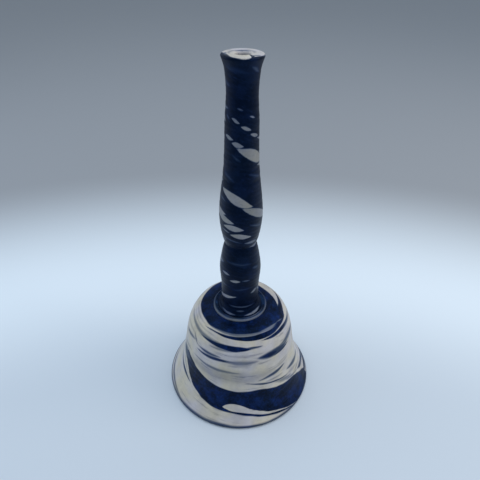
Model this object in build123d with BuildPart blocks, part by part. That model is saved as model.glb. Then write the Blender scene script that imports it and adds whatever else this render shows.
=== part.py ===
"""A porcelain hand bell: a thrown dome and a hollow stem luted together, with a clapper hung on wire.

Millimetres, +Z up. The origin is the centre of the mouth, in the plane that the bell stands on.
Every turned piece is a half outline in the XZ plane, radius along X, revolved about Z.
"""

import os

from build123d import *

# ---- driving dimensions ----
total_height = 200.0
mouth_radius = 45.0
dome_height = 59.6  # the flat seat on the crown that the stem stands on
dome_wall = 4.0
lip_wall = 3.2

stem_lip_radius = 9.4
stem_opening_radius = 3.1
stem_foot_radius = 12.8
stem_wall = 3.7
notch_height = 105.5  # the sharp waist between the two swellings of the stem
notch_radius = 8.4

collar_radius = 15.7
collar_height = 1.3

wire_radius = 0.8
eye_radius = 2.9  # centre line of each wire eye
coil_radius = 2.4  # outside of the flat coil that each wire ends in
coil_edge = 0.7  # rounding of the coil's rim
wrap_radius = 2.3  # the wire's tail, wound round its own shank to close the eye
hanger_wrap_length = 1.6
clapper_wrap_length = 4.0
link_gap = 0.15  # air between the two linked eyes
crown_hole_radius = 1.6

pivot_height = 46.0  # centre of the wire that the clapper hangs on
ball_radius = 10.0
ball_height = 17.0
ball_bore_radius = 1.1
rest_gap = 0.15  # air under a piece that rests on one it can turn against

# ---- heights that follow ----
crown_inside = dome_height - 4.8
hanger_eye_height = pivot_height + eye_radius
clapper_eye_height = pivot_height + 2 * wire_radius + link_gap - eye_radius
keeper_coil_height = ball_height - ball_radius - rest_gap - wire_radius
bead_radius = stem_opening_radius - 0.5
bead_height = dome_height + (bead_radius**2 - crown_hole_radius**2) ** 0.5 + rest_gap
hanger_coil_height = bead_height + bead_radius + wire_radius


def dome_outside():
    """Lip to crown seat: a concave flare, a nearly upright side and a round shoulder."""
    return Spline(
        (mouth_radius, 1.5),
        (39.9, 10.0),
        (35.0, 24.0),
        (32.6, 38.0),
        (30.0, 49.0),
        (25.1, 57.3),
        (18.0, dome_height),
        tangents=((-0.62, 0.78), (-1.0, 0.0)),
    )


def dome_inside():
    """Crown to lip, one wall's thickness inside the outside."""
    return Spline(
        (10.0, crown_inside),
        (21.6, 52.6),
        (26.4, 46.0),
        (32.6 - dome_wall, 36.0),
        (35.0 - dome_wall, 22.6),
        (39.9 - dome_wall, 8.6),
        (mouth_radius - 1.2 - lip_wall, 0.9),
        tangents=((1.0, 0.0), (0.62, -0.78)),
    )


# ---- the thrown dome: mouth, flare, shoulder and crown in one pull of clay ----
with BuildPart() as bell_dome:
    with BuildSketch(Plane.XZ):
        with BuildLine():
            outside = dome_outside()
            seat = Line(outside @ 1, (crown_hole_radius, dome_height))
            hole = Line(seat @ 1, (crown_hole_radius, crown_inside))
            ceiling = Line(hole @ 1, (10.0, crown_inside))
            inside = dome_inside()
            foot_in = Line(inside @ 1, (mouth_radius - 3.6, 0.0))
            foot = Line(foot_in @ 1, (mouth_radius - 1.5, 0.0))
            RadiusArc(foot @ 1, outside @ 0, -1.6)
        make_face()
    revolve(axis=Axis.Z)
bell_dome.part.label = "bell_dome"

# ---- the thrown stem: a closed foot, two swellings with a notch between them, and a flared lip ----
with BuildPart() as stem:
    with BuildSketch(Plane.XZ):
        with BuildLine():
            foot_side = Line((stem_foot_radius, dome_height), (stem_foot_radius, dome_height + 1.2))
            foot_sweep = Spline(
                foot_side @ 1,
                (11.0, dome_height + 3.6),
                (10.6, dome_height + 7.0),
                tangents=((-0.6, 0.8), (0.0, 1.0)),
            )
            lower_swelling = Spline(
                foot_sweep @ 1,
                (10.7, 78.0),
                (11.4, 88.0),
                (10.2, 98.0),
                (notch_radius, notch_height),
                tangents=((0.0, 1.0), (-0.35, 1.0)),
            )
            upper_swelling = Spline(
                lower_swelling @ 1,
                (10.5, 114.0),
                (11.2, 122.0),
                (9.9, 138.0),
                (8.3, 155.0),
                (7.75, 174.0),
                (7.25, 187.0),
                (7.9, 194.0),
                (stem_lip_radius, total_height - 0.9),
                tangents=((0.45, 1.0), (0.35, 1.0)),
            )
            lip_edge = RadiusArc(upper_swelling @ 1, (stem_lip_radius - 1.0, total_height), -1.0)
            lip_top = Line(lip_edge @ 1, (stem_opening_radius + 1.0, total_height))
            mouth_edge = RadiusArc(lip_top @ 1, (stem_opening_radius, total_height - 1.0), -1.0)
            bore = Line(mouth_edge @ 1, (stem_opening_radius, total_height - 14.0))
            hollow = Spline(
                bore @ 1,
                (8.2 - stem_wall, 156.0),
                (11.2 - stem_wall, 123.0),
                (notch_radius - stem_wall, notch_height),
                (11.4 - stem_wall, 88.0),
                (10.7 - stem_wall, dome_height + 4.0),
                (10.7 - stem_wall, dome_height),
                tangents=((0.0, -1.0), (0.0, -1.0)),
            )
            Line(hollow @ 1, foot_side @ 0)
        make_face()
    revolve(axis=Axis.Z)
stem.part.label = "stem"

# ---- the ring of soft clay pressed round the joint, trimmed to a low step ----
with BuildPart() as joint_collar:
    with BuildSketch(Plane.XZ):
        with BuildLine():
            Polyline(
                (stem_foot_radius, dome_height),
                (collar_radius, dome_height),
                (collar_radius, dome_height + 0.5),
                (collar_radius - 0.9, dome_height + collar_height),
                (stem_foot_radius + 0.9, dome_height + collar_height - 0.4),
                (stem_foot_radius, dome_height + 0.6),
                close=True,
            )
        make_face()
    revolve(axis=Axis.Z)
joint_collar.part.label = "joint_collar"

# ---- the bead that stops the hanger from falling through the crown ----
with BuildPart() as stop_bead:
    with Locations((0, 0, bead_height)):
        Sphere(bead_radius)
        Cylinder(wire_radius + 0.1, 3 * bead_radius, mode=Mode.SUBTRACT)
stop_bead.part.label = "stop_bead"

# ---- the hanger: an eye inside the dome, a shank up through the crown, a flat coil over the bead ----
hanger_foot = hanger_eye_height + eye_radius
with BuildPart() as hanger_wire:
    with Locations((0, 0, hanger_coil_height)):
        Cylinder(coil_radius, 2 * wire_radius)
    fillet(hanger_wire.edges().filter_by(GeomType.CIRCLE), coil_edge)
    with BuildSketch(Plane.XY.offset(hanger_foot)):
        Circle(wire_radius)
    extrude(amount=hanger_coil_height - hanger_foot)
    with BuildSketch(Plane.XY.offset(hanger_foot)):
        Circle(wrap_radius)
    extrude(amount=hanger_wrap_length)
    with Locations((0, 0, hanger_eye_height)):
        Torus(eye_radius, wire_radius, rotation=(0, 90, 0))
hanger_wire.part.label = "hanger_wire"

# ---- the clapper's wire: an eye linked through the hanger's, a shank, a flat coil under the ball ----
clapper_neck = clapper_eye_height - eye_radius
with BuildPart() as clapper_wire:
    with Locations((0, 0, keeper_coil_height)):
        Cylinder(coil_radius, 2 * wire_radius)
    fillet(clapper_wire.edges().filter_by(GeomType.CIRCLE), coil_edge)
    with BuildSketch(Plane.XY.offset(keeper_coil_height)):
        Circle(wire_radius)
    extrude(amount=clapper_neck - keeper_coil_height)
    with BuildSketch(Plane.XY.offset(clapper_neck)):
        Circle(wrap_radius)
    extrude(amount=-clapper_wrap_length)
    with Locations((0, 0, clapper_eye_height)):
        Torus(eye_radius, wire_radius, rotation=(90, 0, 0))
clapper_wire.part.label = "clapper_wire"

# ---- the clapper: a porcelain ball with a hole for its wire ----
with BuildPart() as clapper_ball:
    with Locations((0, 0, ball_height)):
        Sphere(ball_radius)
        Cylinder(ball_bore_radius, 3 * ball_radius, mode=Mode.SUBTRACT)
clapper_ball.part.label = "clapper_ball"

os.makedirs("parts", exist_ok=True)
for piece in (bell_dome, stem, joint_collar, stop_bead, hanger_wire, clapper_wire, clapper_ball):
    export_step(piece.part, f"parts/{piece.part.label}.step")
    print(piece.part.label, "volume", round(piece.part.volume), "mm3")
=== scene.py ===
# %% [markdown]
# # A marbled porcelain hand bell
# The bell is thrown from two clays, one cream and one stained navy, wedged loosely together so that they
# stay apart in streaks. A dome and a hollow stem are thrown, joined with a ring of soft clay and fired to
# a satin skin. A ball clapper hangs inside on kiln wire. This script loads the measured model as a fixed
# frame, turns fine meshes from its true outlines, and gives each piece its clay, glaze or metal.

# %% Load the frame
import math
import random

import bmesh
import bpy
from mathutils import Matrix, Vector


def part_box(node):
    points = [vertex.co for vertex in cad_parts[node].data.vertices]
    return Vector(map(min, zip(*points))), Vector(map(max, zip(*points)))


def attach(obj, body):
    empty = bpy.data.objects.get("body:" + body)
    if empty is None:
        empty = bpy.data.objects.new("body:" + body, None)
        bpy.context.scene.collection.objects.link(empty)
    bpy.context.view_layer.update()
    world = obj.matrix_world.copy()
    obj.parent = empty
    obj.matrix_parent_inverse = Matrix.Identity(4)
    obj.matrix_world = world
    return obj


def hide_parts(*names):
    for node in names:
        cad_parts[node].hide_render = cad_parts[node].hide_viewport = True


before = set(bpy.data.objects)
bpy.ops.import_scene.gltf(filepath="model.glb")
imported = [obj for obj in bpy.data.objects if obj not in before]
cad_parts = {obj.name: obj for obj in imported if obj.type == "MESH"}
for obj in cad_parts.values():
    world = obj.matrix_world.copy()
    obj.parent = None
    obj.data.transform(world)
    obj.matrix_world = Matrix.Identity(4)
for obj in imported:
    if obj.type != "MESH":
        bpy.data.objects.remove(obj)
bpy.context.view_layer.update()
mm = 0.001
print("frame holds", sorted(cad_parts))

# %% [markdown]
# ## Helpers
# Colours are written as the sRGB hex values that a colour picker shows, and the shader needs them linear.
# A shader tree is built one node at a time: values fill the sockets in order, and a node can be given
# where its first output is wanted.

# %% Colours and nodes
MATH = "ShaderNodeMath"
MAP_RANGE = "ShaderNodeMapRange"
MIX = "ShaderNodeMix"  # numbers in sockets 2 and 3, or colours in 6 and 7 with the result in output 2


def linear(hex_colour):
    """An sRGB hex colour such as "#c8bfb0" as linear red, green, blue and alpha."""
    parts = [int(hex_colour[i : i + 2], 16) / 255 for i in (1, 3, 5)]
    return [c / 12.92 if c <= 0.04045 else ((c + 0.055) / 1.055) ** 2.4 for c in parts] + [1.0]


def add(tree, kind, *values, sockets=None, **settings):
    """Adds a node. A value is a number, a colour, an output, or a node whose first output is meant."""
    made = tree.nodes.new(kind)
    for name, setting in settings.items():
        setattr(made, name, setting)
    for key, value in [*enumerate(values), *(sockets or {}).items()]:
        if isinstance(value, bpy.types.Node):
            value = value.outputs[0]
        if isinstance(value, bpy.types.NodeSocket):
            tree.links.new(value, made.inputs[key])
        elif value is not None:
            made.inputs[key].default_value = value
    return made


# %% [markdown]
# ## Camera
# The bell stands on a table and is looked down on by someone close to it, so the dome is seen from well
# above while the lip of the stem is nearly at eye level. A moderate wide-angle lens close by does that.

# %% Camera
camera_height = 242.5 * mm
camera_distance = 192.7 * mm
camera_pitch = math.radians(35.48)  # below the horizon
camera_roll = math.radians(0.69)

lens = bpy.data.cameras.new("camera")
lens.lens = 33.1  # mm, on a sensor 36 mm wide
lens.sensor_width = 36.0
lens.clip_start = 0.01
lens.shift_x = -0.0012  # the bell is a hair off the middle of the picture
lens.shift_y = 0.001
camera = bpy.data.objects.new("camera", lens)
bpy.context.scene.collection.objects.link(camera)
camera.matrix_world = (
    Matrix.Translation((0, -camera_distance, camera_height))
    @ Matrix.Rotation(math.pi / 2 - camera_pitch, 4, "X")
    @ Matrix.Rotation(camera_roll, 4, "Z")
)
bpy.context.scene.camera = camera

# %% [markdown]
# ## Turned pieces
# A thrown pot is a half outline turned about an axis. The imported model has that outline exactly, so it is
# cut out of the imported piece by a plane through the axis, drawn again as a smooth curve through the same
# points, spaced evenly, and spun. That keeps every size and leaves fine even quads for the throwing marks.

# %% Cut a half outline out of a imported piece
corner_turn = math.radians(28)  # an outline that turns more than this at a point has a corner there


def half_outline(node_name):
    """The closed half outline of a turned piece, as (radius, height) in mm, going up the outside."""
    bm = bmesh.new()
    bm.from_mesh(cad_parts[node_name].data)
    bmesh.ops.remove_doubles(bm, verts=bm.verts, dist=1e-6)
    everything = [*bm.verts, *bm.edges, *bm.faces]
    cut = bmesh.ops.bisect_plane(bm, geom=everything, dist=1e-7, plane_co=(0, 0, 0), plane_no=(0, 1, 0))
    beside = {}
    for edge in cut["geom_cut"]:
        if isinstance(edge, bmesh.types.BMEdge) and all(v.co.x > 0 for v in edge.verts):
            a, b = edge.verts
            beside.setdefault(a, []).append(b)
            beside.setdefault(b, []).append(a)
    start = min(beside, key=lambda v: (round(v.co.z, 6), -v.co.x))
    path = [start, max(beside[start], key=lambda v: v.co.x)]
    while True:
        onward = [v for v in beside[path[-1]] if v is not path[-2]]
        if not onward or onward[0] is start:
            break
        path.append(onward[0])
    points = [(v.co.x / mm, v.co.z / mm) for v in path]
    bm.free()
    return points


def smooth_path(points, spacing):
    """Evenly spaced points along a smooth closed curve through the given ones, corners kept."""
    curve = bpy.data.curves.new("outline", "CURVE")
    curve.resolution_u = 24
    spline = curve.splines.new("BEZIER")
    spline.bezier_points.add(len(points) - 1)
    spline.use_cyclic_u = True
    for i, (bezier, here) in enumerate(zip(spline.bezier_points, points)):
        bezier.co = (here[0], here[1], 0)
        came = Vector(here) - Vector(points[i - 1])
        goes = Vector(points[(i + 1) % len(points)]) - Vector(here)
        corner = came.angle(goes) > corner_turn
        bezier.handle_left_type = bezier.handle_right_type = "VECTOR" if corner else "AUTO"
    drawn = bpy.data.objects.new("outline", curve)
    mesh = bpy.data.meshes.new_from_object(drawn)
    fine = [v.co.xy.copy() for v in mesh.vertices]
    fine.append(fine[0])
    bpy.data.objects.remove(drawn)
    bpy.data.meshes.remove(mesh)
    reach = [0.0]
    for a, b in zip(fine, fine[1:]):
        reach.append(reach[-1] + (b - a).length)
    count = round(reach[-1] / spacing)
    evenly, k = [], 0
    for i in range(count):
        wanted = reach[-1] * i / count
        while reach[k + 1] < wanted:
            k += 1
        share = (wanted - reach[k]) / (reach[k + 1] - reach[k])
        evenly.append(fine[k].lerp(fine[k + 1], share))
    return evenly


# %% Tell a wall's outside from its inside
def widest_by_height(outline):
    """The outside radius at each whole mm of height."""
    widest = {}
    for p in outline:
        widest[round(p.y)] = max(widest.get(round(p.y), 0.0), p.x)
    return widest


# %% Spin an outline into a piece
def turned(name, outline, steps, up_wall, relief=None):
    """Spins a closed half outline (mm) about the axis. up_wall(i, point) is stored on each point, in mm,
    and relief(angle, radius, height) says how far the surface stands proud there, in mm."""
    bm = bmesh.new()
    layer = bm.verts.layers.float.new("up_wall")
    ring = [bm.verts.new((p.x * mm, 0, p.y * mm)) for p in outline]
    for i, (vert, p) in enumerate(zip(ring, outline)):
        vert[layer] = up_wall(i, p)
    edges = [bm.edges.new((a, b)) for a, b in zip(ring, ring[1:] + ring[:1])]
    bmesh.ops.spin(
        bm, geom=ring + edges, axis=(0, 0, 1), cent=(0, 0, 0), steps=steps, angle=math.tau, use_merge=True
    )
    bmesh.ops.remove_doubles(bm, verts=bm.verts, dist=1e-7)
    bmesh.ops.recalc_face_normals(bm, faces=bm.faces)
    bm.normal_update()
    if relief:
        for vert in bm.verts:
            radius = math.hypot(vert.co.x, vert.co.y)
            proud = relief(math.atan2(vert.co.x, -vert.co.y), radius / mm, vert.co.z / mm)
            vert.co += vert.normal * proud * mm
    mesh = bpy.data.meshes.new(name)
    bm.to_mesh(mesh)
    bm.free()
    mesh.shade_smooth()
    piece = bpy.data.objects.new(name, mesh)
    bpy.context.scene.collection.objects.link(piece)
    print(name, "has", len(mesh.polygons), "faces")
    return piece


# %% [markdown]
# ## The dome
# Fingers drawn up a spinning wall leave a shallow spiral of ridges, about one every 3 mm, and a thrown
# ring is never quite round. Both could be faked in the material, but cut into the mesh they show in the
# outline too. They are a few hundredths of a millimetre deep outside, deeper inside where nobody smooths.

# %% Dome
dome_outline = smooth_path(half_outline("bell_dome"), 0.5)
dome_reach = [0.0]
for a, b in zip(dome_outline, dome_outline[1:]):
    dome_reach.append(dome_reach[-1] + (b - a).length)
dome_around = dome_reach[-1] + (dome_outline[0] - dome_outline[-1]).length
hole_edge = min(range(len(dome_outline)), key=lambda i: (round(dome_outline[i].x, 1), -dome_outline[i].y))
lip_reach = max(zip((p.x for p in dome_outline), dome_reach))[1]  # where the lip is widest


def dome_up_wall(i, point):
    """Distance up the wall from the widest part of the lip, outside or inside, so that the marbling goes
    right through the wall."""
    if i <= hole_edge:
        return dome_reach[i] - lip_reach
    return dome_around - dome_reach[i] - lip_reach


dome_widest = widest_by_height(dome_outline)
dome_wall_least = 2.4  # mm; a point further in than this is on the inside
dome_ceiling = 56  # mm; above this the radius doesn't tell the two sides apart
finger_marks_outside = 0.018  # mm
finger_marks_inside = 0.07


def dome_relief(angle, radius, height):
    """Throwing marks and a slight ovalness; nothing where the stem and the table touch the dome."""
    inside = radius < dome_widest[round(height)] - dome_wall_least and height < dome_ceiling
    off_table = min(1.0, max(0.0, (height - 1.2) / 6))
    off_stem = min(1.0, max(0.0, (radius - 17) / 4))
    turn = angle / math.tau
    spiral = math.cos(math.tau * (height / 3.1 + turn)) + 0.5 * math.cos(math.tau * (height / 5.3 - turn) + 1)
    oval = 0.06 * math.cos(2 * angle + 0.7) + 0.04 * math.cos(3 * angle - 1.9 + height / 30)
    if inside:
        return off_table * off_stem * (finger_marks_inside * spiral - oval)
    return off_table * off_stem * (finger_marks_outside * spiral + oval)


dome = turned("dome", dome_outline, 240, dome_up_wall, dome_relief)
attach(dome, "bell")
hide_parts("bell_dome")

# %% [markdown]
# ## The stem
# The stem is the grip. Its outline has two swellings with a pinched notch between them, and low steps where
# the potter's rib paused. The foot is ringed where it was pressed down and turned against the dome.

# %% Stem
stem_outline = smooth_path(half_outline("stem"), 0.5)
stem_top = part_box("stem")[1].z / mm
stem_lip = max(p.x for p in stem_outline if p.y > stem_top - 2)
# Each low step or groove: height (mm), depth (mm, below zero is a ridge), half width (mm)
stem_rings = [
    (61.9, 0.35, 0.55), (63.1, -0.12, 0.5), (64.4, 0.22, 0.5), (66.6, 0.16, 0.6), (69.4, 0.10, 0.7),
    (76.2, 0.06, 1.2), (83.0, 0.05, 1.5), (95.2, 0.05, 1.4), (105.3, 0.25, 0.8), (110.6, 0.08, 1.0),
    (130.8, 0.06, 1.2), (144.2, 0.10, 1.2), (150.2, 0.12, 1.0), (154.4, -0.06, 1.2), (163.5, 0.10, 1.1),
    (169.0, 0.05, 1.0), (177.0, 0.07, 1.3), (183.0, 0.05, 1.4),
]


bore_depth = 15.0  # mm of the bore that take the lip's colour
stem_bore = min(p.x for p in stem_outline)
stem_wall_least = 1.5  # mm


def stem_up_wall(i, point):
    """Height on the wall, carried on across the flat top of the lip and down into its opening."""
    if point.x < stem_bore + 0.3 and point.y > stem_top - bore_depth:
        return stem_top + (stem_lip - stem_bore) + 0.5 * (stem_top - point.y)
    if point.y > stem_top - 0.6 and point.x < stem_lip:
        return stem_top + (stem_lip - point.x)
    return point.y


stem_widest = widest_by_height(stem_outline)
stem_seat = 60.4  # mm; below this the foot is pressed against the dome and the joint ring


def stem_relief(angle, radius, height):
    """Throwing marks, ring steps and a faint oval, fading out at the foot's seat and the lip."""
    if radius < stem_widest[round(height)] - stem_wall_least:
        return 0.0
    off_seat = min(1.0, max(0.0, (height - stem_seat) / 0.8))
    off_lip = min(1.0, max(0.0, (stem_top - 2 - height) / 6))
    turn = angle / math.tau
    marks = 0.022 * math.cos(math.tau * (height / 2.3 + turn)) + 0.015 * math.cos(math.tau * height / 4.1 + 2)
    marks += 0.05 * math.cos(2 * angle + height / 17)
    for ring_height, depth, half_width in stem_rings:
        offset = (height + 0.35 * math.cos(angle - ring_height) - ring_height) / half_width
        marks -= depth * math.exp(-offset * offset)
    return off_seat * off_lip * marks


stem = turned("stem_grip", stem_outline, 160, stem_up_wall, stem_relief)
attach(stem, "bell")
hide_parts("stem")

# %% [markdown]
# ## The joint ring, the clapper's ball and the bead
# These are turned in the same way. The joint ring is soft clay run round the foot with a fingertip, so it is
# low and slightly uneven. The ball and the bead are rolled by hand and pierced.

# %% Joint ring
ring_outline = smooth_path(half_outline("joint_collar"), 0.22)
ring_step = 60.1  # mm; up to this height the ring's edge is an upright step
ring_inner = 12.8  # mm, its radius where it meets the stem
groove_spacing = 0.85  # mm


def ring_relief(angle, radius, height):
    """A fingertip's uneven pressure, and the fine grooves that it leaves."""
    above = max(0.0, height - ring_step)
    uneven = 0.06 * math.cos(3 * angle + 1.2) + 0.03 * math.cos(7 * angle)
    grooves = 0.07 * math.cos(math.tau * (radius - ring_inner) / groove_spacing + 0.4 * math.sin(2 * angle))
    return above * (uneven + grooves)


joint_ring = turned("joint_ring", ring_outline, 200, lambda i, p: p.x, ring_relief)
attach(joint_ring, "bell")
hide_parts("joint_collar")

# %% Ball and bead
ball_outline = smooth_path(half_outline("clapper_ball"), 0.5)


def ball_relief(angle, radius, height):
    """Rolled between two palms, so a little out of round, but true round its bore."""
    off_bore = min(1.0, max(0.0, radius - 2) / 4)
    return off_bore * 0.05 * math.cos(2 * angle + height / 3)


ball = turned("clapper_ball_porcelain", ball_outline, 96, lambda i, p: p.y, ball_relief)
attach(ball, "ball")
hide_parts("clapper_ball")

bead = turned("bead", smooth_path(half_outline("stop_bead"), 0.25), 48, lambda i, p: p.y)
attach(bead, "hanger")
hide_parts("stop_bead")

# %% [markdown]
# ## The wires
# The clapper and its hanger are bent from 1.6 mm kiln wire, the kind that survives the glaze firing. Each is
# one length: a flat coil at one end, a straight shank, an eye, and the tail wound back round the shank. Rods
# and rings would show where they meet, so a round section runs along one centre line through all four.

# %% The centre line of a wire with an eye
wire_radius = 0.8
eye_radius = 2.9
wind_radius = 1.5  # centre line of the wound tail
coil_radius = 1.6  # centre line of the coil where it starts
coil_closing = 6.9  # radians in which the coil would close on the axis
tail_start = 0.2  # mm from the neck


def wire_path(coil_height, neck_height, wound_length, eye_plane):
    """Points along a flat coil, a shank up or down the axis, an eye beyond neck_height, and the tail wound
    back. Heights are in mm, and the eye stands in the plane of the axis and eye_plane."""
    along = 1 if neck_height > coil_height else -1
    side, across = Vector(eye_plane), Vector((-eye_plane[1], eye_plane[0], 0))
    up = Vector((0, 0, 1))
    path = []

    def wind(out, turn, height):
        path.append(side * out * math.cos(turn) + across * out * math.sin(turn) + up * height)

    for k in range(26):  # one flat turn, closing in on the axis
        turn = math.tau * k / 24
        wind(coil_radius * (1 - turn / coil_closing), turn, coil_height)
    for share in (0.03, 0.08, 0.2, 0.4, 0.6, 0.8, 0.95):
        path.append(up * (coil_height + share * (neck_height - coil_height)))
    for k in range(37):
        turn = math.tau * k / 36
        beyond = eye_radius * (1 - math.cos(turn))
        path.append(side * eye_radius * math.sin(turn) + up * (neck_height + along * beyond))
    wound = wound_length - wire_radius
    steps = round(16 * wound / (2 * wire_radius))
    for k in range(1, steps + 1):
        drop = tail_start + (wound - tail_start) * k / steps
        wind(wind_radius * min(1.0, k / 5), math.tau * k / 16, neck_height - along * drop)
    return path


# %% Give it a round section
def bent_wire(name, *route):
    """A round wire along wire_path(*route)."""
    path = wire_path(*route)
    curve = bpy.data.curves.new(name, "CURVE")
    curve.dimensions = "3D"
    curve.bevel_depth = wire_radius * mm
    curve.bevel_resolution = 5
    curve.resolution_u = 3
    curve.use_fill_caps = True
    spline = curve.splines.new("NURBS")
    spline.points.add(len(path) - 1)
    for point, place in zip(spline.points, path):
        point.co = (*(place * mm), 1)
    spline.order_u = 3
    spline.use_endpoint_u = True
    drawn = bpy.data.objects.new(name, curve)
    mesh = bpy.data.meshes.new_from_object(drawn)
    bpy.data.objects.remove(drawn)
    mesh.name = name
    mesh.shade_smooth()
    piece = bpy.data.objects.new(name, mesh)
    bpy.context.scene.collection.objects.link(piece)
    print(name, "has", len(mesh.polygons), "faces")
    return piece


# %% Hanger and clapper wire
hanger_low, hanger_high = (corner.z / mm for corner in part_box("hanger_wire"))
clapper_low, clapper_high = (corner.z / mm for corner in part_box("clapper_wire"))
eye_height = 2 * (eye_radius + wire_radius)  # outside of the eye
hanger_wound, clapper_wound = 1.6, 4.0  # mm of shank that each tail is wound over

hanger_coil, hanger_neck = hanger_high - wire_radius, hanger_low + eye_height - wire_radius
hanger = bent_wire("hanger_bent_wire", hanger_coil, hanger_neck, hanger_wound, (0, 1, 0))
clapper_coil, clapper_neck = clapper_low + wire_radius, clapper_high - eye_height + wire_radius
clapper = bent_wire("clapper_bent_wire", clapper_coil, clapper_neck, clapper_wound, (1, 0, 0))
for wire, body, node_name in ((hanger, "hanger", "hanger_wire"), (clapper, "clapper", "clapper_wire")):
    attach(wire, body)
    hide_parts(node_name)

# %% [markdown]
# ## The marbling
# The two clays make one picture that runs round the wall: how much navy clay lies at each place, from 0,
# cream, to 1, navy. It could be painted as an image, but laid shapes stay sharp however near the camera is.
# They lie over two measures, the angle round the axis and the distance up the wall. Broad zones have two
# edges, each a curve over the angle. Streaks are lens shapes that mostly fall to the right, as clay drawn up
# a turning wall does. Noise pushes the measures about first, so every edge is frayed.

# %% One streak, as a node group
pointedness = 1.35  # above 1, a streak's ends are drawn out to points


def make_streak_group():
    """Lays one streak over the amount of navy clay that comes in."""
    tree = bpy.data.node_groups.new("streak", "ShaderNodeTree")
    for name in (
        "navy", "angle", "up", "middle angle", "middle up", "half length", "half width", "fall", "lean",
        "amount", "softness",
    ):
        tree.interface.new_socket(name, in_out="INPUT", socket_type="NodeSocketFloat")
    tree.interface.new_socket("navy", in_out="OUTPUT", socket_type="NodeSocketFloat")
    given = add(tree, "NodeGroupInput").outputs
    beside = add(tree, MATH, given["angle"], given["middle angle"], operation="SUBTRACT")
    beside = add(tree, MATH, beside, 180.0, -180.0, operation="WRAP")
    share = add(tree, MATH, beside, given["half length"], operation="DIVIDE")
    slid = add(tree, MATH, beside, given["fall"], given["up"], operation="MULTIPLY_ADD")
    above = add(tree, MATH, slid, given["middle up"], operation="SUBTRACT")
    distance = add(tree, MATH, above, operation="ABSOLUTE")
    squared = add(tree, MATH, share, share, operation="MULTIPLY")
    lens_shape = add(tree, MATH, 1.0, squared, operation="SUBTRACT", use_clamp=True)
    swell = add(tree, MATH, share, given["lean"], 1.0, operation="MULTIPLY_ADD")
    pointed = add(tree, MATH, lens_shape, pointedness, operation="POWER")
    width = add(tree, MATH, pointed, swell, operation="MULTIPLY")
    width = add(tree, MATH, width, given["half width"], operation="MULTIPLY")
    outside = add(tree, MATH, distance, width, operation="SUBTRACT")
    outside = add(tree, MATH, outside, given["softness"], operation="DIVIDE")
    cover = add(tree, MAP_RANGE, outside, -1.0, 1.0, 1.0, 0.0, interpolation_type="SMOOTHSTEP")
    ends = add(tree, MATH, lens_shape, 3.0, operation="MULTIPLY", use_clamp=True)
    cover = add(tree, MATH, cover, ends, operation="MULTIPLY")
    change = add(tree, MATH, given["amount"], given["navy"], operation="SUBTRACT")
    laid = add(tree, MATH, change, cover, given["navy"], operation="MULTIPLY_ADD")
    result = add(tree, "NodeGroupOutput")
    tree.links.new(laid.outputs[0], result.inputs[0])
    return tree


streak_group = make_streak_group()

# %% Zones and streaks laid in a list
highest_up = 220.0  # mm, the top of every edge curve


def edge_curve(tree, angle, points):
    """How far up the wall an edge lies at this angle, from (degrees, mm) points."""
    turn = add(tree, MAP_RANGE, angle, -180.0, 180.0, 0.0, 1.0)
    curve = add(tree, "ShaderNodeFloatCurve", 1.0, turn)
    knots = curve.mapping.curves[0].points
    for knot, (degrees, up) in zip((knots[0], knots[1]), (points[0], points[-1])):
        knot.location = ((degrees + 180) / 360, up / highest_up)
    for degrees, up in points[1:-1]:
        knots.new((degrees + 180) / 360, up / highest_up)
    curve.mapping.update()
    return add(tree, MATH, curve, highest_up, operation="MULTIPLY")


def lay_zone(tree, navy, angle, up, low_edge, high_edge, amount, softness):
    """Lays a broad zone between two edges over the navy clay so far."""
    cover = None
    for points, above in ((low_edge, 1.0), (high_edge, -1.0)):
        past = add(tree, MATH, up, edge_curve(tree, angle, points), operation="SUBTRACT")
        past = add(tree, MATH, past, above, operation="MULTIPLY")
        inside = add(tree, MAP_RANGE, past, -softness, softness, 0.0, 1.0, interpolation_type="SMOOTHSTEP")
        cover = add(tree, MATH, inside, cover, operation="MULTIPLY") if cover else inside
    change = add(tree, MATH, amount, navy, operation="SUBTRACT")
    return add(tree, MATH, change, cover, navy, operation="MULTIPLY_ADD")


def lay_streaks(tree, navy, angle, up, streaks):
    """Lays streaks in order. Each is (first angle, its height, last angle, its height, thickness, lean,
    amount of navy[, softness]), in degrees and mm. lean puts the thick part towards one end, -1 to 1."""
    for first, first_up, last, last_up, thickness, lean, amount, *rest in streaks:
        navy = add(
            tree, "ShaderNodeGroup", node_tree=streak_group,
            sockets={
                "navy": navy, "angle": angle, "up": up,
                "middle angle": (first + last) / 2, "middle up": (first_up + last_up) / 2,
                "half length": (last - first) / 2, "half width": thickness / 2,
                "fall": (first_up - last_up) / (last - first), "lean": lean, "amount": amount,
                "softness": rest[0] if rest else 0.4,
            },
        )
    return navy
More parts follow.
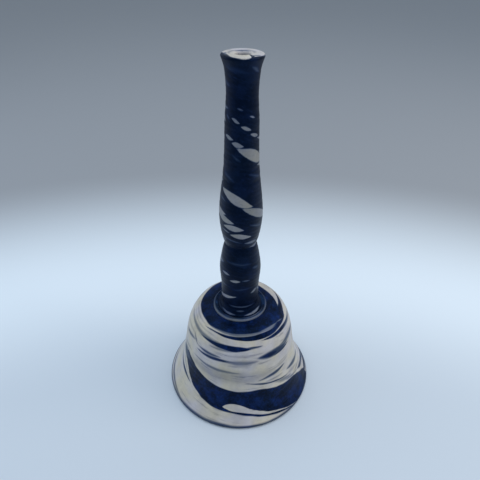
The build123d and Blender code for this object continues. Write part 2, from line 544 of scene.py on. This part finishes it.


# %% [markdown]
# The front was laid streak by streak. The back carries on in the same manner: its streaks are drawn
# by lot, seeded so that they come out the same each time, in the lengths and thicknesses of the front's.

# %% Streaks of the dome
dome_zones = [
    # (lower edge, upper edge, amount of navy, softness)
    (  # the broad navy band that falls across the front
        [(-180, 60), (-76, 60), (-71, 28.5), (-66, 25.2), (-62, 23.2), (-55, 19.6), (-48, 16.4),
         (-40, 14.2), (-30, 11.4), (-20, 9.9), (-10, 9.4), (0, 8.5), (10, 7.3), (20, 5.3), (30, 3.6),
         (40, 2.1), (50, 0.8), (62, 0.4), (84, 1.0), (94, 60), (180, 60)],
        [(-180, 20), (-78, 20), (-72, 30.5), (-66, 33.8), (-60, 33.0), (-45, 29.4), (-30, 26.6),
         (-15, 24.4), (-5, 23.6), (8, 23.6), (20, 23.2), (30, 21.4), (45, 18.6), (60, 15.8), (72, 11.6),
         (80, 8.0), (88, 4.0), (180, 2)],
        1.0, 0.55,
    ),
    (  # the cream wedge let into the band
        [(-180, 60), (-17, 60), (-14, 12.3), (-10, 10.9), (-5, 10.0), (0, 9.8), (7, 9.3), (15, 7.6),
         (25, 5.7), (35, 3.9), (45, 2.0), (54, 0.9), (60, 60), (180, 60)],
        [(-180, 0), (-17, 5), (-14, 12.5), (-10, 14.3), (-4, 14.9), (2, 14.2), (8, 12.5), (15, 10.4),
         (25, 7.3), (35, 4.8), (45, 2.4), (54, 1.0), (60, 0), (180, 0)],
        0.0, 0.35,
    ),
    (  # the band on the far side
        [(-180, 26), (-150, 21), (-130, 18.7), (-112, 18.4), (-104, 60), (116, 60), (124, 43.5),
         (140, 39), (155, 33), (180, 26)],
        [(-180, 40), (-150, 32), (-130, 24.6), (-112, 19.2), (-104, 0), (116, 0), (124, 44.6),
         (140, 45.4), (155, 44.2), (180, 40)],
        1.0, 0.5,
    ),
    (  # the navy crown
        [(-180, 63), (-90, 63.0), (-60, 62.8), (-45, 62.0), (-20, 61.6), (0, 61.6), (30, 61.0),
         (50, 59.6), (66, 58.0), (76, 57.4), (86, 59.2), (104, 60.4), (125, 61.5), (180, 63)],
        [(-180, 140), (180, 140)],
        1.0, 0.45,
    ),
]
dome_streaks_with_painted_shadow = [
    # the edge of the lip: a navy stain, and a dark line all round it that is painted contact shadow
    (-120, 6.6, -52, 1.2, 1.7, 0.1, 0.55, 0.8), (-100, 0.4, 30, 0.2, 3.0, 0.2, 0.6, 0.9),
    (-60, 0.0, 160, 0.0, 2.6, 0, 0.72, 0.9), (-180, 0.8, -70, 1.2, 1.8, 0, 0.6, 0.8),
    # the left end of the band fades and splits
    (-84, 30.6, -56, 29.6, 6.5, -0.3, 0.62, 1.6), (-88, 21.6, -50, 15.4, 2.0, 0.1, 0.74, 0.6),
    (-78, 25.4, -56, 18.6, 2.0, -0.3, 0.16, 0.6), (-86, 33.0, -62, 35.0, 1.4, 0, 0.35, 0.9),
    # so does the right end
    (36, 23.6, 62, 18.0, 2.4, 0.1, 0.36, 1.0), (4, 30.2, 60, 20.6, 1.2, 0, 0.72, 0.5),
    (50, 19.4, 74, 13.6, 1.0, 0.2, 0.5, 0.8), (52, 22.4, 78, 16.6, 2.2, 0.2, 0.2, 0.8),
    (54, 25.6, 94, 18.0, 2.8, -0.2, 0.62, 0.8), (62, 18.2, 90, 12.4, 3.0, 0.1, 0.06, 0.8),
    (66, 16.6, 84, 14.4, 0.8, 0, 0.4, 0.6), (72, 13.8, 112, 1.6, 3.2, 0, 0.78, 0.7),
    (76, 9.4, 100, 4.2, 2.2, 0, 0.06, 0.6), (74, 4.4, 118, 0.6, 2.6, -0.1, 0.82, 0.6),
    (92, 12.8, 128, 5.0, 1.4, 0, 0.4, 0.8),
    # the cream belly
    (-64, 34.0, 44, 33.2, 9.0, 0, 0.18, 3.0), (18, 29.8, 55, 31.6, 2.2, 0.5, 0.66, 0.7),
    (26, 27.6, 50, 26.0, 1.0, 0, 0.3, 0.7), (30, 34.6, 62, 33.6, 1.2, 0, 0.24, 0.8),
    (-56, 38.4, 4, 36.8, 1.8, 0.1, 0.45, 0.8), (-84, 36.5, -58, 38.4, 1.2, 0, 0.3, 0.9),
    (-40, 33.6, -10, 31.6, 1.0, 0, 0.2, 0.8), (-50, 46.6, -18, 46.6, 1.7, -0.2, 0.66, 0.8),
    (-52, 44.0, 2, 45.2, 1.9, -0.2, 0.78, 0.6), (-16, 44.8, 22, 44.4, 3.0, 0, 0.4, 1.1),
    (-12, 42.2, 14, 42.6, 1.2, 0, 0.25, 0.9), (-30, 49.2, 30, 48.6, 1.0, 0, 0.22, 0.9),
    (-82, 46.2, -54, 48.2, 2.0, 0.1, 0.5, 0.9), (-62, 51.6, -48, 46.0, 1.6, 0, 0.42, 0.9),
    (-90, 50.6, -60, 51.4, 1.2, 0, 0.22, 0.9), (17, 46.2, 66, 45.2, 4.0, -0.4, 0.72, 0.9),
    (24, 46.2, 44, 45.4, 2.2, 0, 0.95, 0.7), (46, 47.2, 90, 46.6, 3.0, 0.1, 0.58, 1.0),
    (38, 43.8, 66, 43.8, 1.5, 0, 0.85, 0.5),
    # the shoulder
    (-96, 56.8, -10, 54.2, 2.4, 0.2, 0.4, 0.9), (-52, 54.4, 18, 53.0, 2.6, 0.25, 0.85, 0.5),
    (-28, 53.4, 14, 53.2, 2.8, 0.1, 1.0, 0.5), (6, 53.9, 28, 53.0, 1.2, 0, 0.7, 0.5),
    (-36, 51.6, -6, 51.8, 1.3, 0, 0.4, 0.7), (25, 56.3, 96, 53.6, 2.1, -0.2, 1.0, 0.4),
    (60, 54.2, 98, 53.2, 1.7, 0, 0.6, 0.7), (30, 57.2, 78, 55.8, 0.8, 0, 0.1, 0.4),
    (-52, 60.2, 30, 59.4, 1.4, 0.3, 0.9, 0.4), (-30, 60.0, 82, 57.4, 3.2, 0.3, 1.0, 0.35),
    (-50, 62.0, 54, 60.6, 1.5, 0.1, 0.46, 0.6), (28, 61.6, 60, 59.8, 1.8, 0, 0.4, 0.7),
    (-100, 61.4, -46, 60.8, 0.9, 0, 0.2, 0.7), (56, 60.4, 72, 58.4, 0.8, 0, 0.45, 0.5),
    (-96, 59.2, -30, 58.0, 0.8, 0, 0.16, 0.7),
    # a tongue of cream reaches into the crown from behind
    (82, 63.3, 175, 65.0, 5.0, 0.2, 0.04, 0.45),
]

# %% Streaks of the stem
stem_zones = [
    (  # the pale flat top of the lip
        [(-180, 200.3), (-100, 200.4), (-85, 201.6), (-58, 202.1), (-42, 201.2), (-28, 200.6),
         (20, 200.5), (30, 201.4), (44, 200.8), (56, 200.4), (80, 200.1), (180, 200.3)],
        [(-180, 219), (180, 219)],
        0.0, 0.35,
    ),
]
stem_streaks_with_painted_shade_and_sheen = [
    # navy veins let into the lip, and a grey ring all round its opening and down into the bore, a painted
    # shade
    (-180, 208.4, 180, 208.4, 4.4, 0, 0.46, 1.0), (20, 199.0, 50, 206.0, 3.6, -0.2, 0.97, 0.5),
    (36, 203.4, 62, 200.8, 1.4, 0, 0.7, 0.5), (120, 205.0, 240, 205.0, 1.8, 0, 0.5, 0.6),
    (-100, 202.4, -60, 201.6, 1.0, 0, 0.5, 0.6), (-60, 205.4, 10, 205.6, 0.8, 0, 0.35, 0.5),
    (-180, 204.0, -60, 203.4, 1.2, 0, 0.3, 0.8), (80, 204.4, 180, 203.4, 1.0, 0, 0.3, 0.8),
    (-64, 196.0, 24, 193.6, 2.2, 0, 0.8, 1.2), (24, 196.6, 62, 193.2, 1.8, 0, 0.66, 1.0),
    (-100, 190.4, -40, 187.4, 2.4, 0, 0.74, 1.2),
    # the swelling above the notch
    (-72, 140.4, 38, 131.2, 5.6, 0.15, 0.28), (-2, 131.7, 108, 122.2, 5.2, 0, 0.34),
    (-124, 140.4, -66, 143.5, 3.0, 0, 0.34, 0.6), (-114, 126.4, -38, 126.6, 4.4, -0.2, 0.3),
    (-82, 125.6, -14, 122.1, 3.8, 0, 0.3), (-54, 120.1, 12, 118.8, 3.5, 0.1, 0.28),
    (-34, 115.3, 34, 114.1, 3.2, 0, 0.26), (8, 110.0, 60, 109.7, 2.0, 0.3, 0.44, 0.6),
    # The pale streak round the right of the waist at about 105 mm is a painted sheen, not clay.
    (-58, 117.6, -30, 116.2, 1.0, 0, 0.4, 0.6), (28, 105.9, 84, 104.8, 1.3, 0, 0.36, 0.4),
    (-60, 112.2, 8, 110.2, 1.1, 0, 0.62, 0.6), (-76, 135.2, -44, 133.4, 1.2, 0, 0.6, 0.7),
    (20, 121.8, 72, 118.4, 1.4, 0, 0.66, 0.9), (-100, 108.8, -46, 110.6, 1.6, 0, 0.45, 0.7),
    # below the notch
    (-60, 89.6, -28, 88.9, 1.7, 0, 0.38), (-32, 85.3, 3, 85.6, 2.0, 0, 0.3),
    (4, 86.0, 30, 86.0, 1.0, 0, 0.52, 0.6), (-106, 93.6, -54, 95.4, 2.2, 0, 0.45, 0.8),
    (-112, 67.6, -4, 74.2, 2.4, 0.2, 0.28), (32, 75.2, 62, 76.9, 2.2, 0.2, 0.38, 0.6),
    (56, 76.8, 112, 70.0, 2.6, 0, 0.5, 0.8), (-44, 66.3, 56, 66.0, 1.3, 0, 0.6, 0.5),
    (-12, 63.3, 16, 63.2, 1.0, 0, 0.62, 0.4), (-64, 62.0, -8, 61.2, 1.0, 0, 0.5, 0.4),
    (8, 61.0, 74, 61.3, 1.2, 0, 0.38, 0.4), (-80, 79.6, -40, 80.4, 1.6, 0, 0.7, 1.0),
    (-30, 78.6, 40, 80.0, 1.4, 0, 0.74, 0.9), (-50, 97.4, 40, 96.2, 1.5, 0, 0.72, 1.0),
    (34, 93.4, 64, 92.4, 1.8, 0, 0.68, 1.0),
    # the long neck above the swelling
    (-22, 161.2, 114, 152.4, 6.2, 0, 0.3), (56, 151.9, 112, 150.2, 1.6, 0, 0.3),
    (-37, 163.2, 9, 161.9, 2.7, -0.2, 0.34), (-66, 166.2, -26, 164.7, 2.1, -0.1, 0.36),
    (26, 167.9, 65, 166.0, 1.9, 0.1, 0.34), (54, 165.2, 112, 162.6, 1.5, 0, 0.36),
    (-6, 171.6, 34, 169.6, 2.0, 0, 0.34), (-38, 174.7, -5, 172.9, 1.9, 0, 0.4),
    (24, 176.1, 48, 174.7, 0.9, 0, 0.38), (-18, 179.1, 5, 178.4, 0.9, 0, 0.58, 0.5),
    (-110, 178.6, -50, 178.0, 1.5, 0, 0.5, 0.6), (-64, 175.2, -44, 173.8, 1.6, 0, 0.66, 0.8),
    (-36, 158.0, 0, 154.8, 1.3, 0, 0.72, 0.9), (20, 148.6, 80, 145.0, 1.6, 0, 0.72, 1.0),
    (-70, 148.6, -20, 144.6, 2.0, 0, 0.74, 1.2),
]

# %% Streaks of the back, drawn by lot
chance = random.Random(41)


def streaks_behind(low, high, every, thickest, fall, light, longest=34):
    """Streaks across the back, about one to each `every` mm of height between low and high. longest is half
    the length of the longest one, in degrees, and light the least or the most navy that one has."""
    laid, up = [], low + every / 2
    while up < high:
        middle = chance.uniform(112, 248)  # degrees, all the way across the back
        half = chance.uniform(0.45, 1.0) * longest
        thickness = thickest * chance.uniform(0.25, 1.0) ** 1.4
        drop = half * fall * chance.uniform(0.6, 1.4)
        amount = light + chance.choice((0.0, 0.0, 0.15, 0.45)) * (1 if light < 0.5 else -1)
        lean = chance.uniform(-0.4, 0.4)
        laid.append((middle - half, up + drop, middle + half, up - drop, thickness, lean, amount))
        up += every * chance.uniform(0.5, 1.5)
    return laid


dome_streaks_with_painted_shadow += streaks_behind(3, 16, 3.2, 2.4, 0.05, 0.85)
dome_streaks_with_painted_shadow += streaks_behind(47, 61, 2.8, 2.6, 0.03, 0.95)
stem_streaks_with_painted_shade_and_sheen += streaks_behind(62, 104, 5.5, 2.2, 0.03, 0.34, 52)
stem_streaks_with_painted_shade_and_sheen += streaks_behind(108, 180, 4.6, 4.6, 0.07, 0.28, 58)
print(len(dome_streaks_with_painted_shadow), "streaks on the dome and", len(stem_streaks_with_painted_shade_and_sheen), "on the stem")

# %% [markdown]
# ## Clay and glaze
# Fired porcelain stained with cobalt is nearly black where it is thick and slate blue where it thins out at
# an edge, and next to it the white clay looks a warm grey cream. The skin is a thin clear glaze, satin rather
# than mirror-like. Its reflections are blue where it is seen face on and pale towards the outline. A coat
# over the clay could carry them, but one tinted reflection is simpler.

# %% Where a point lies on the wall
wave_push = 1.3  # mm over the whole range of the noise, which mostly keeps to its middle half
fray_push = 0.8  # mm, and
fray_turn = 3.0  # degrees, both in the same way
across_scale = 0.16  # how fast drawn-out noise changes for each mm up the wall


def wall_measures(tree, hair_turn):
    """The object place, a place along a helix that runs hair_turn degrees round for each mm up, and the two
    pushed measures that the marbling is laid over: the angle in degrees and the mm up the wall."""
    place = add(tree, "ShaderNodeTexCoord").outputs["Object"]
    up = add(tree, "ShaderNodeAttribute", attribute_name="up_wall").outputs["Fac"]
    split = add(tree, "ShaderNodeSeparateXYZ", place)
    front = add(tree, MATH, split.outputs["Y"], -1.0, operation="MULTIPLY")
    radians = add(tree, MATH, split.outputs["X"], front, operation="ARCTAN2")
    angle = add(tree, MATH, radians, operation="DEGREES")

    # Along a helix round the wall, noise that is slow along it and quick across it makes drawn-out marks
    helix = add(tree, MATH, up, math.radians(hair_turn), radians, operation="MULTIPLY_ADD")
    east = add(tree, MATH, helix, operation="SINE")
    north = add(tree, MATH, helix, operation="COSINE")
    rise = add(tree, MATH, up, across_scale, operation="MULTIPLY")
    along = add(tree, "ShaderNodeCombineXYZ", east, north, rise)

    # The clay was pushed about: waves about 14 mm long and 0.5 mm deep, and drawn-out frays 2 mm thick
    waves = add(tree, "ShaderNodeTexNoise", place, sockets={"Scale": 70.0, "Detail": 1.0})
    frays = add(tree, "ShaderNodeTexNoise", along, sockets={"Scale": 2.6, "Detail": 4.0, "Roughness": 0.55})
    wave = add(tree, MATH, waves.outputs["Fac"], 0.5, operation="SUBTRACT")
    fray = add(tree, MATH, frays.outputs["Fac"], 0.5, operation="SUBTRACT")
    pushed_up = add(tree, MATH, wave, wave_push, up, operation="MULTIPLY_ADD")
    pushed_up = add(tree, MATH, fray, fray_push, pushed_up, operation="MULTIPLY_ADD")
    pushed_angle = add(tree, MATH, fray, fray_turn, angle, operation="MULTIPLY_ADD")
    return place, along, pushed_angle, pushed_up


# %% The colour of the clay
clay_colours = [  # from cream, 0, to navy, 1
    (0.0, "#cdccc3"), (0.16, "#b1b1ad"), (0.36, "#7f868e"), (0.6, "#465467"), (0.8, "#152643"),
    (0.93, "#061228"), (1.0, "#020a1b"),
]


def clay_colour(tree, place, along, clouds, navy, cloud_blue):
    """Cream, navy and what lies between, with hair veins and uneven stain."""
    veins = add(
        tree, "ShaderNodeTexNoise", along,
        sockets={"Scale": 3.4, "Detail": 6.0, "Roughness": 0.62, "Distortion": 0.3},
    ).outputs["Fac"]
    in_cream = add(tree, MAP_RANGE, veins, 0.56, 0.72, 0.0, 0.26, interpolation_type="SMOOTHSTEP")
    in_navy = add(tree, MAP_RANGE, veins, 0.5, 0.72, 0.0, 0.15, interpolation_type="SMOOTHSTEP")
    darker = add(tree, MATH, navy, in_cream, operation="ADD")
    lighter = add(tree, MATH, navy, in_navy, operation="SUBTRACT")
    blend = add(tree, MIX, navy, data_type="FLOAT", sockets={2: darker, 3: lighter})
    ramp = add(tree, "ShaderNodeValToRGB", blend)
    stops = ramp.color_ramp.elements
    for stop, (position, colour) in zip((stops[0], stops[1]), (clay_colours[0], clay_colours[-1])):
        stop.position, stop.color = position, linear(colour)
    for position, colour in clay_colours[1:-1]:
        stops.new(position).color = linear(colour)

    # Thick navy goes from ink to blue in clouds about 8 mm across and in specks of 1 mm
    specks = add(tree, "ShaderNodeTexNoise", place, sockets={"Scale": 900.0, "Detail": 2.0, "Roughness": 0.6})
    bluer = add(tree, MAP_RANGE, clouds, 0.38, 0.68, 0.0, 0.4, interpolation_type="SMOOTHSTEP")
    speckled = add(tree, MAP_RANGE, specks, 0.45, 0.75, 0.0, 0.22, interpolation_type="SMOOTHSTEP")
    bluer = add(tree, MATH, bluer, speckled, operation="ADD")
    thick_stain = add(tree, MATH, navy, 4.0, operation="POWER")
    bluer = add(tree, MATH, bluer, thick_stain, operation="MULTIPLY")
    coloured = add(
        tree, MIX, bluer, data_type="RGBA",
        sockets={6: ramp.outputs["Color"], 7: linear(cloud_blue)},
    )

    # The firing leaves casts 12 mm across, from yellowish to mauve, and the clouds go lighter and darker
    casts = add(tree, "ShaderNodeTexNoise", place, sockets={"Scale": 85.0, "Detail": 2.0})
    which_cast = add(tree, MAP_RANGE, casts.outputs["Fac"], 0.34, 0.66, 0.0, 1.0)
    cast = add(tree, MIX, which_cast, data_type="RGBA", sockets={6: linear("#fff5e6"), 7: linear("#f3eefa")})
    coloured = add(
        tree, MIX, 1.0, data_type="RGBA", blend_type="MULTIPLY",
        sockets={6: coloured.outputs[2], 7: cast.outputs[2]},
    )
    value = add(tree, MAP_RANGE, clouds, 0.35, 0.65, 0.86, 1.04)
    return add(tree, "ShaderNodeHueSaturation", sockets={"Color": coloured.outputs[2], "Value": value})


# %% Marbled porcelain
def marbled_porcelain(name, zones, streaks, ground, hair_turn, cloud_blue="#163678"):
    """Porcelain marbled from two clays, under a satin glaze. ground is the amount of navy to start from,
    hair_turn how many degrees the finest veins run round for each mm, and cloud_blue the lighter navy."""
    material = bpy.data.materials.new(name)
    material.use_nodes = True
    tree = material.node_tree
    tree.nodes.clear()
    place, along, angle, up = wall_measures(tree, hair_turn)
    navy = ground
    for low_edge, high_edge, amount, softness in zones:
        navy = lay_zone(tree, navy, angle, up, low_edge, high_edge, amount, softness)
    navy = lay_streaks(tree, navy, angle, up, streaks)
    cloudy = {"Scale": 130.0, "Detail": 4.0, "Roughness": 0.65}
    clouds = add(tree, "ShaderNodeTexNoise", place, sockets=cloudy).outputs["Fac"]
    coloured = clay_colour(tree, place, along, clouds, navy, cloud_blue)

    # Under the glaze the clay has a fine tooth, a few hundredths of a millimetre, about 0.6 mm across
    tooth = add(tree, "ShaderNodeTexNoise", place, sockets={"Scale": 1600.0, "Detail": 2.0})
    bump = add(
        tree, "ShaderNodeBump",
        sockets={"Strength": 0.22, "Distance": 0.00006, "Height": tooth.outputs["Fac"]},
    )
    satin = add(tree, MAP_RANGE, clouds, 0.3, 0.7, 0.36, 0.48)
    shader = add(
        tree, "ShaderNodeBsdfPrincipled",
        sockets={
            "Base Color": coloured, "Roughness": satin, "IOR": 1.5, "Specular IOR Level": 0.21,
            "Specular Tint": linear("#70a0e7"), "Normal": bump,
        },
    )
    result = add(tree, "ShaderNodeOutputMaterial")
    tree.links.new(shader.outputs[0], result.inputs[0])
    print(name, "has", len(tree.nodes), "nodes")
    return material


dome.data.materials.append(
    marbled_porcelain("satin_glazed_porcelain_dome", dome_zones, dome_streaks_with_painted_shadow, 0.0, 9.0)
)
stem.data.materials.append(
    marbled_porcelain("satin_glazed_porcelain_stem", stem_zones, stem_streaks_with_painted_shade_and_sheen, 1.0, 13.0, "#10203f")
)

# %% Joint ring
# The rings that go all round are pale veins in the clay; the arcs over the front half only are a painted
# highlight on the ring's front edge.
ring_streaks_and_painted_highlight = [
    (-178, 15.4, 178, 15.4, 1.5, 0, 0.56, 0.7), (-90, 15.5, 100, 15.4, 1.1, 0, 0.44, 0.7),
    (-178, 14.6, 178, 14.6, 0.5, 0, 0.75, 0.2), (-60, 13.9, 10, 13.9, 0.5, 0, 0.6),
    (5, 13.6, 75, 13.8, 0.6, 0, 0.35), (-178, 13.2, 178, 13.2, 0.4, 0, 0.7, 0.2),
]
joint_ring.data.materials.append(
    marbled_porcelain("satin_glazed_porcelain_ring", [], ring_streaks_and_painted_highlight, 1.0, 9.0, "#2f5f98")
)

# %% [markdown]
# The ball is rolled from the last scraps, mostly cream with a few thin veins. The bead was fired without
# glaze, so it is matt and chalky, with a grain of about half a millimetre.

# %% Ball and bead
ball_streaks = [
    (-170, 20.5, -60, 18.0, 1.2, 0, 0.8), (-40, 15.0, 60, 12.5, 0.9, 0, 0.7),
    (20, 22.5, 120, 20.0, 1.6, 0.3, 0.9), (100, 16.5, 200, 14.0, 1.1, 0, 0.75),
    (-120, 11.5, -30, 10.2, 0.8, 0, 0.6), (-20, 24.2, 60, 23.4, 0.7, 0, 0.6),
]
ball.data.materials.append(marbled_porcelain("satin_glazed_porcelain_ball", [], ball_streaks, 0.0, 20.0))

bisque = bpy.data.materials.new("bisque_porcelain")
bisque.use_nodes = True
tree = bisque.node_tree
place = add(tree, "ShaderNodeTexCoord").outputs["Object"]
chalk = add(tree, "ShaderNodeTexNoise", place, sockets={"Scale": 2200.0, "Detail": 4.0})
tint = add(tree, MIX, chalk, data_type="RGBA", sockets={6: linear("#d8cec0"), 7: linear("#bdb2a3")})
bump = add(tree, "ShaderNodeBump", sockets={"Strength": 0.4, "Distance": 0.00005, "Height": chalk})
shader = tree.nodes["Principled BSDF"]
tree.links.new(tint.outputs[2], shader.inputs["Base Color"])
tree.links.new(bump.outputs[0], shader.inputs["Normal"])
shader.inputs["Roughness"].default_value = 0.85
bead.data.materials.append(bisque)

# %% [markdown]
# Kiln wire is a nickel alloy that a firing oxidises: dark grey-brown and dull, with a greenish cast, in
# blotches one or two millimetres across.

# %% Kiln wire
kiln_wire = bpy.data.materials.new("oxidised_kiln_wire")
kiln_wire.use_nodes = True
tree = kiln_wire.node_tree
place = add(tree, "ShaderNodeTexCoord").outputs["Object"]
scale = add(tree, "ShaderNodeTexNoise", place, sockets={"Scale": 700.0, "Detail": 5.0, "Roughness": 0.7})
tint = add(tree, MIX, scale, data_type="RGBA", sockets={6: linear("#3d3a34"), 7: linear("#7d7868")})
dull = add(tree, MAP_RANGE, scale.outputs["Fac"], 0.3, 0.7, 0.38, 0.62)
bump = add(tree, "ShaderNodeBump", sockets={"Strength": 0.3, "Distance": 0.00003, "Height": scale})
shader = tree.nodes["Principled BSDF"]
tree.links.new(tint.outputs[2], shader.inputs["Base Color"])
tree.links.new(dull.outputs[0], shader.inputs["Roughness"])
tree.links.new(bump.outputs[0], shader.inputs["Normal"])
shader.inputs["Metallic"].default_value = 0.9
for wire in (hanger, clapper):
    wire.data.materials.append(kiln_wire)

# %% [markdown]
# ## Floor and light
# The bell stands on a plain pale floor in even daylight, with a broad window overhead and a weak one at each
# side. The floor's colour is painted palest just behind the bell and grey further away, a painted pool of
# light and its painted falloff, so that it needs no wall, which would stand in the way of other views.

# %% Floor
painted_light_pool_forward = 0.45  # m, how far in front of the bell the pale part of the floor is centred
painted_light_pool_start = 0.44  # m from there, where the floor starts to go paler
painted_light_pool_edge = 0.549  # m from there, where it is palest and starts to go grey
painted_light_pool_fade = 0.2  # m over which it does

bm = bmesh.new()
bmesh.ops.create_circle(bm, cap_ends=True, segments=96, radius=30.0)
floor_mesh = bpy.data.meshes.new("floor")
bm.to_mesh(floor_mesh)
bm.free()
floor = bpy.data.objects.new("floor", floor_mesh)
bpy.context.scene.collection.objects.link(floor)
painted_light_floor = bpy.data.materials.new("pale_floor_with_painted_light_pool")
painted_light_floor.use_nodes = True
tree = painted_light_floor.node_tree
place = add(tree, "ShaderNodeTexCoord").outputs["Object"]
centre = add(tree, "ShaderNodeMapping", place, sockets={"Location": (0.0, painted_light_pool_forward, 0.0)})
far = add(tree, "ShaderNodeVectorMath", centre, operation="LENGTH").outputs["Value"]
# A painted pool of light: the floor's colour goes paler towards the pool's edge just behind the bell, then
# grey beyond it as painted falloff.
near = add(tree, MAP_RANGE, far, painted_light_pool_start, painted_light_pool_edge, 0.0, 1.0, interpolation_type="SMOOTHSTEP")
pale = add(tree, MIX, near, data_type="RGBA", sockets={6: linear("#d1dae2"), 7: linear("#e8f1f7")})
painted_falloff = add(tree, MAP_RANGE, far, painted_light_pool_edge, painted_light_pool_edge + painted_light_pool_fade, 0.0, 1.0, interpolation_type="SMOOTHSTEP")
shade = add(tree, MIX, painted_falloff, data_type="RGBA", sockets={6: pale.outputs[2], 7: linear("#9da0a4")})
shader = tree.nodes["Principled BSDF"]
tree.links.new(shade.outputs[2], shader.inputs["Base Color"])
shader.inputs["Roughness"].default_value = 0.7
shader.inputs["Specular IOR Level"].default_value = 0.2
floor_mesh.materials.append(painted_light_floor)

# %% Lights
def window(name, place, towards, width, depth, watts, colour):
    """A rectangular soft light, with places and sizes in metres."""
    light = bpy.data.lights.new(name, "AREA")
    light.shape = "RECTANGLE"
    light.size, light.size_y = width, depth
    light.energy = watts
    light.color = linear(colour)[:3]
    lamp = bpy.data.objects.new(name, light)
    bpy.context.scene.collection.objects.link(lamp)
    lamp.location = place
    lamp.rotation_euler = (Vector(towards) - Vector(place)).to_track_quat("-Z", "Y").to_euler()


window("overhead_window", (0.05, 0.1, 1.1), (0, 0, 0), 1.2, 1.2, 5.0, "#eef5ff")
window("right_window", (0.7, -0.05, 0.55), (0, 0, 0.08), 0.5, 0.5, 1.7, "#fff6ec")
window("left_window", (-0.7, 0.12, 0.3), (0, 0, 0.1), 0.5, 0.8, 1.0, "#dcedff")
print("lit by", [light.name for light in bpy.data.lights], "and the room")

world = bpy.data.worlds.new("room")
world.use_nodes = True
room = world.node_tree.nodes["Background"]
room.inputs["Color"].default_value = linear("#b9c6d4")
room.inputs["Strength"].default_value = 0.84
bpy.context.scene.world = world
bpy.context.scene.view_settings.view_transform = "Standard"
